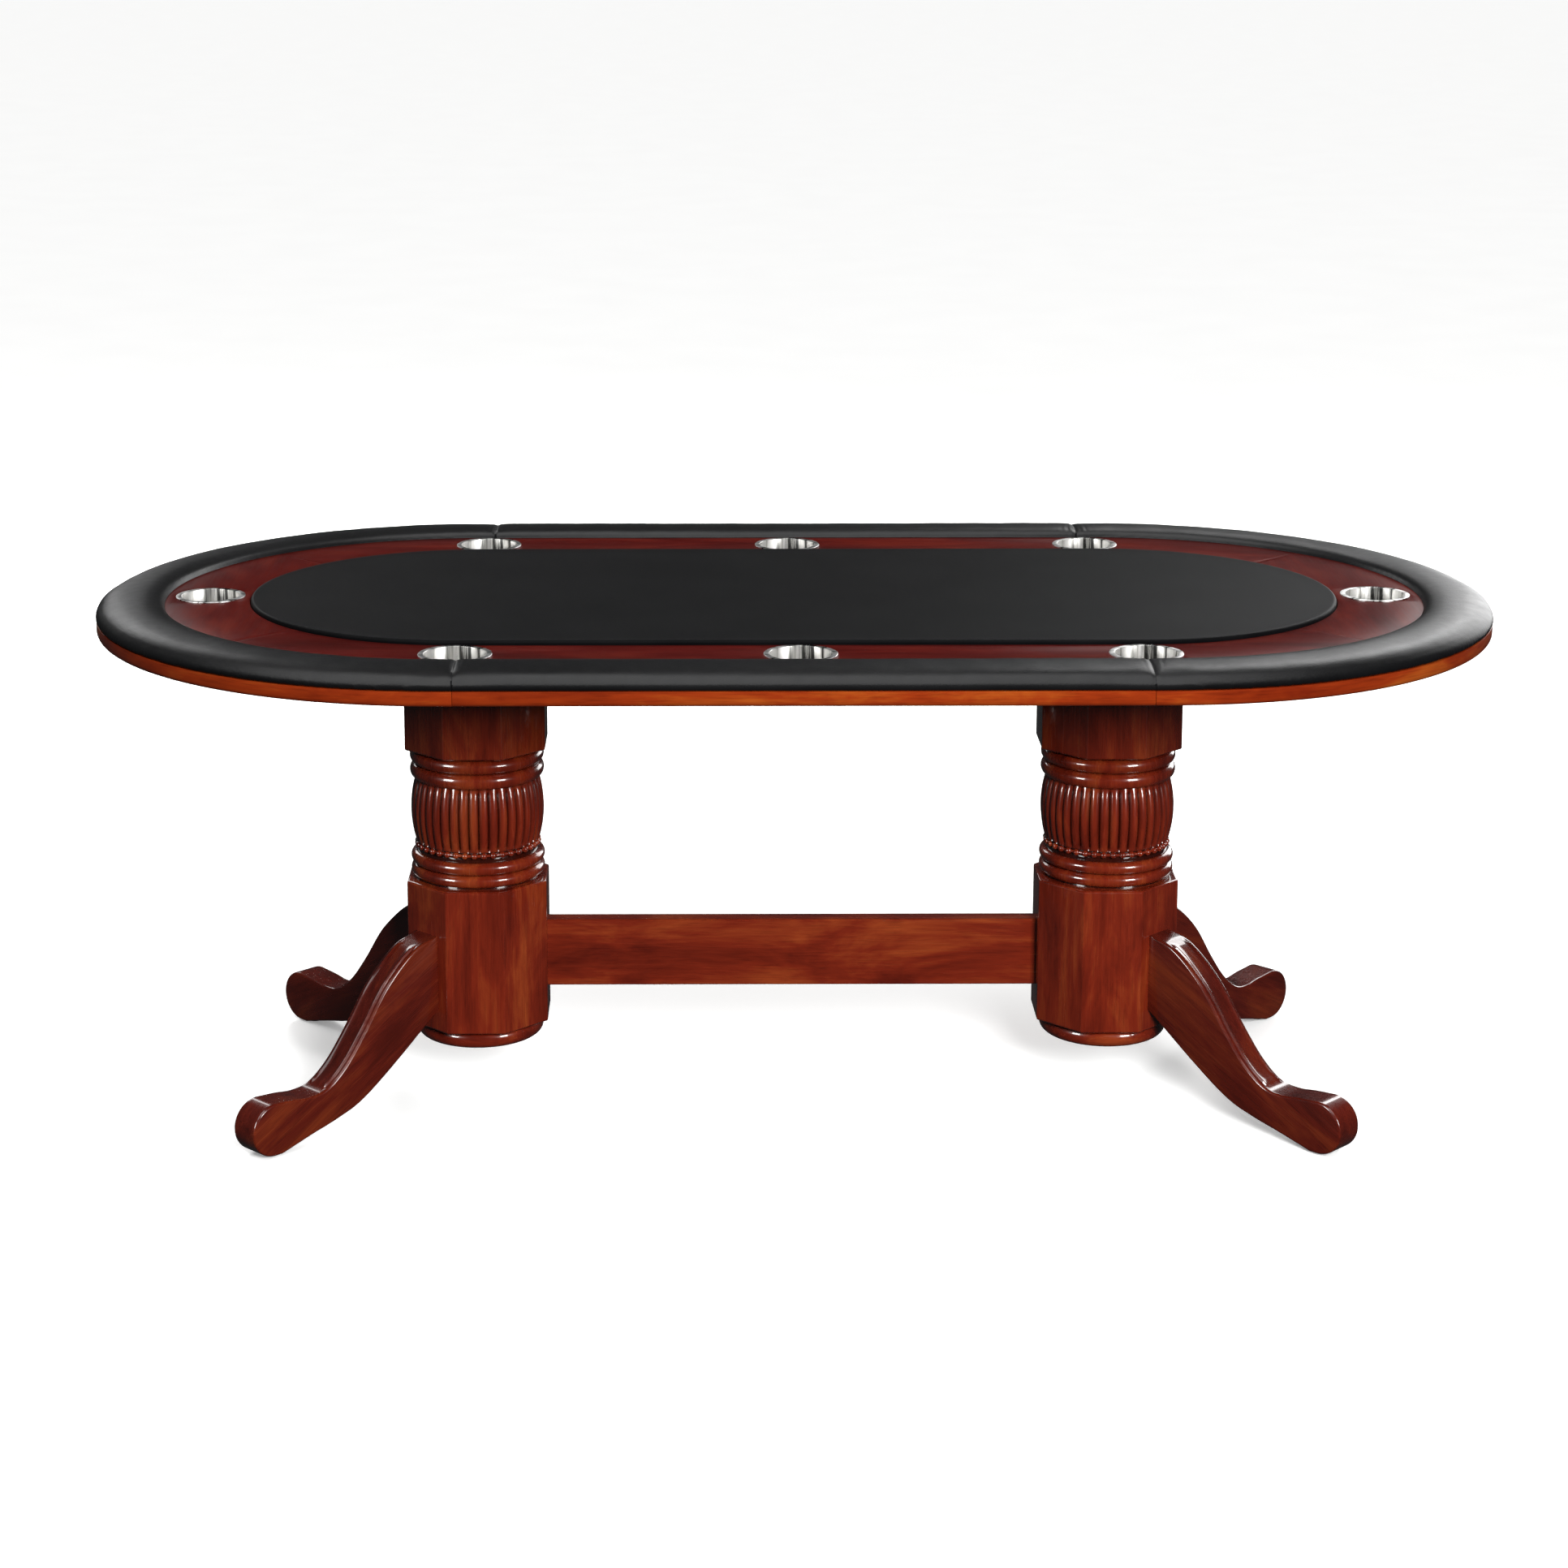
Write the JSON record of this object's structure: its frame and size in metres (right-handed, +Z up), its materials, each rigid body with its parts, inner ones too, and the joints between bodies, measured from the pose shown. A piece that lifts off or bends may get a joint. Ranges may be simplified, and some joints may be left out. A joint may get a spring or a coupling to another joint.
{
  "type": "poker table",
  "caption": "Oval card table with a padded arm rail, wooden racetrack with lift-out steel cups, raised playing panel and two turned pedestals with scroll legs and a stretcher.",
  "frame": {"origin": "on the floor under the centre of the table", "axes": "+X along the table, +Z up"},
  "size_m": [2.134, 1.118, 0.8],
  "materials": {
    "cherry_wood": "red cherry stain under satin lacquer",
    "mdf": "raw fibreboard",
    "plywood": "raw sanded plywood",
    "leatherette": "fine grained black upholstery vinyl over foam",
    "playing_cloth": "smooth black playing cloth over thin foam",
    "stainless_steel": "polished stainless steel",
    "zinc_steel": "zinc plated",
    "nylon": "moulded nylon"
  },
  "bodies": {
    "table": {"deck_board": "mdf", "playing_board": "mdf", "racetrack_front": "cherry_wood", "racetrack_back": "cherry_wood", "racetrack_left": "cherry_wood", "racetrack_right": "cherry_wood", "apron_front": "cherry_wood", "apron_back": "cherry_wood", "apron_left": "cherry_wood", "apron_right": "cherry_wood", "rail_core_front": "plywood", "rail_core_back": "plywood", "rail_core_left": "plywood", "rail_core_right": "plywood", "top_plate_left": "plywood", "top_plate_right": "plywood", "deck_batten_front": "plywood", "deck_batten_back": "plywood", "rail_pad_front": "leatherette", "rail_pad_back": "leatherette", "rail_pad_left": "leatherette", "rail_pad_right": "leatherette", "playing_pad": "playing_cloth", "upper_block_left": "cherry_wood", "column_left": "cherry_wood", "pearl_ring_left": "cherry_wood", "lower_block_left": "cherry_wood", "base_cap_left": "cherry_wood", "leg_front_left": "cherry_wood", "leg_back_left": "cherry_wood", "upper_block_right": "cherry_wood", "column_right": "cherry_wood", "pearl_ring_right": "cherry_wood", "lower_block_right": "cherry_wood", "base_cap_right": "cherry_wood", "leg_front_right": "cherry_wood", "leg_back_right": "cherry_wood", "stretcher": "cherry_wood", "tie_rod_left": "zinc_steel", "tie_rod_right": "zinc_steel", "tie_rod_nuts": "zinc_steel", "leg_dowel_screws": "zinc_steel", "rail_screws": "zinc_steel", "playing_board_screws": "zinc_steel", "top_plate_screws": "zinc_steel", "foot_glides": "nylon"},
    "cup_front_left": {"cup_front_left": "stainless_steel"},
    "cup_front_centre": {"cup_front_centre": "stainless_steel"},
    "cup_front_right": {"cup_front_right": "stainless_steel"},
    "cup_back_left": {"cup_back_left": "stainless_steel"},
    "cup_back_centre": {"cup_back_centre": "stainless_steel"},
    "cup_back_right": {"cup_back_right": "stainless_steel"},
    "cup_end_left": {"cup_end_left": "stainless_steel"},
    "cup_end_right": {"cup_end_right": "stainless_steel"}
  },
  "joints": [
    {"name": "cup_front_left_lift", "type": "slide", "parent": "table", "child": "cup_front_left", "axis": [0, 0, 1], "range_m": [0, 0.08]},
    {"name": "cup_front_centre_lift", "type": "slide", "parent": "table", "child": "cup_front_centre", "axis": [0, 0, 1], "range_m": [0, 0.08]},
    {"name": "cup_front_right_lift", "type": "slide", "parent": "table", "child": "cup_front_right", "axis": [0, 0, 1], "range_m": [0, 0.08]},
    {"name": "cup_back_left_lift", "type": "slide", "parent": "table", "child": "cup_back_left", "axis": [0, 0, 1], "range_m": [0, 0.08]},
    {"name": "cup_back_centre_lift", "type": "slide", "parent": "table", "child": "cup_back_centre", "axis": [0, 0, 1], "range_m": [0, 0.08]},
    {"name": "cup_back_right_lift", "type": "slide", "parent": "table", "child": "cup_back_right", "axis": [0, 0, 1], "range_m": [0, 0.08]},
    {"name": "cup_end_left_lift", "type": "slide", "parent": "table", "child": "cup_end_left", "axis": [0, 0, 1], "range_m": [0, 0.08]},
    {"name": "cup_end_right_lift", "type": "slide", "parent": "table", "child": "cup_end_right", "axis": [0, 0, 1], "range_m": [0, 0.08]}
  ]
}
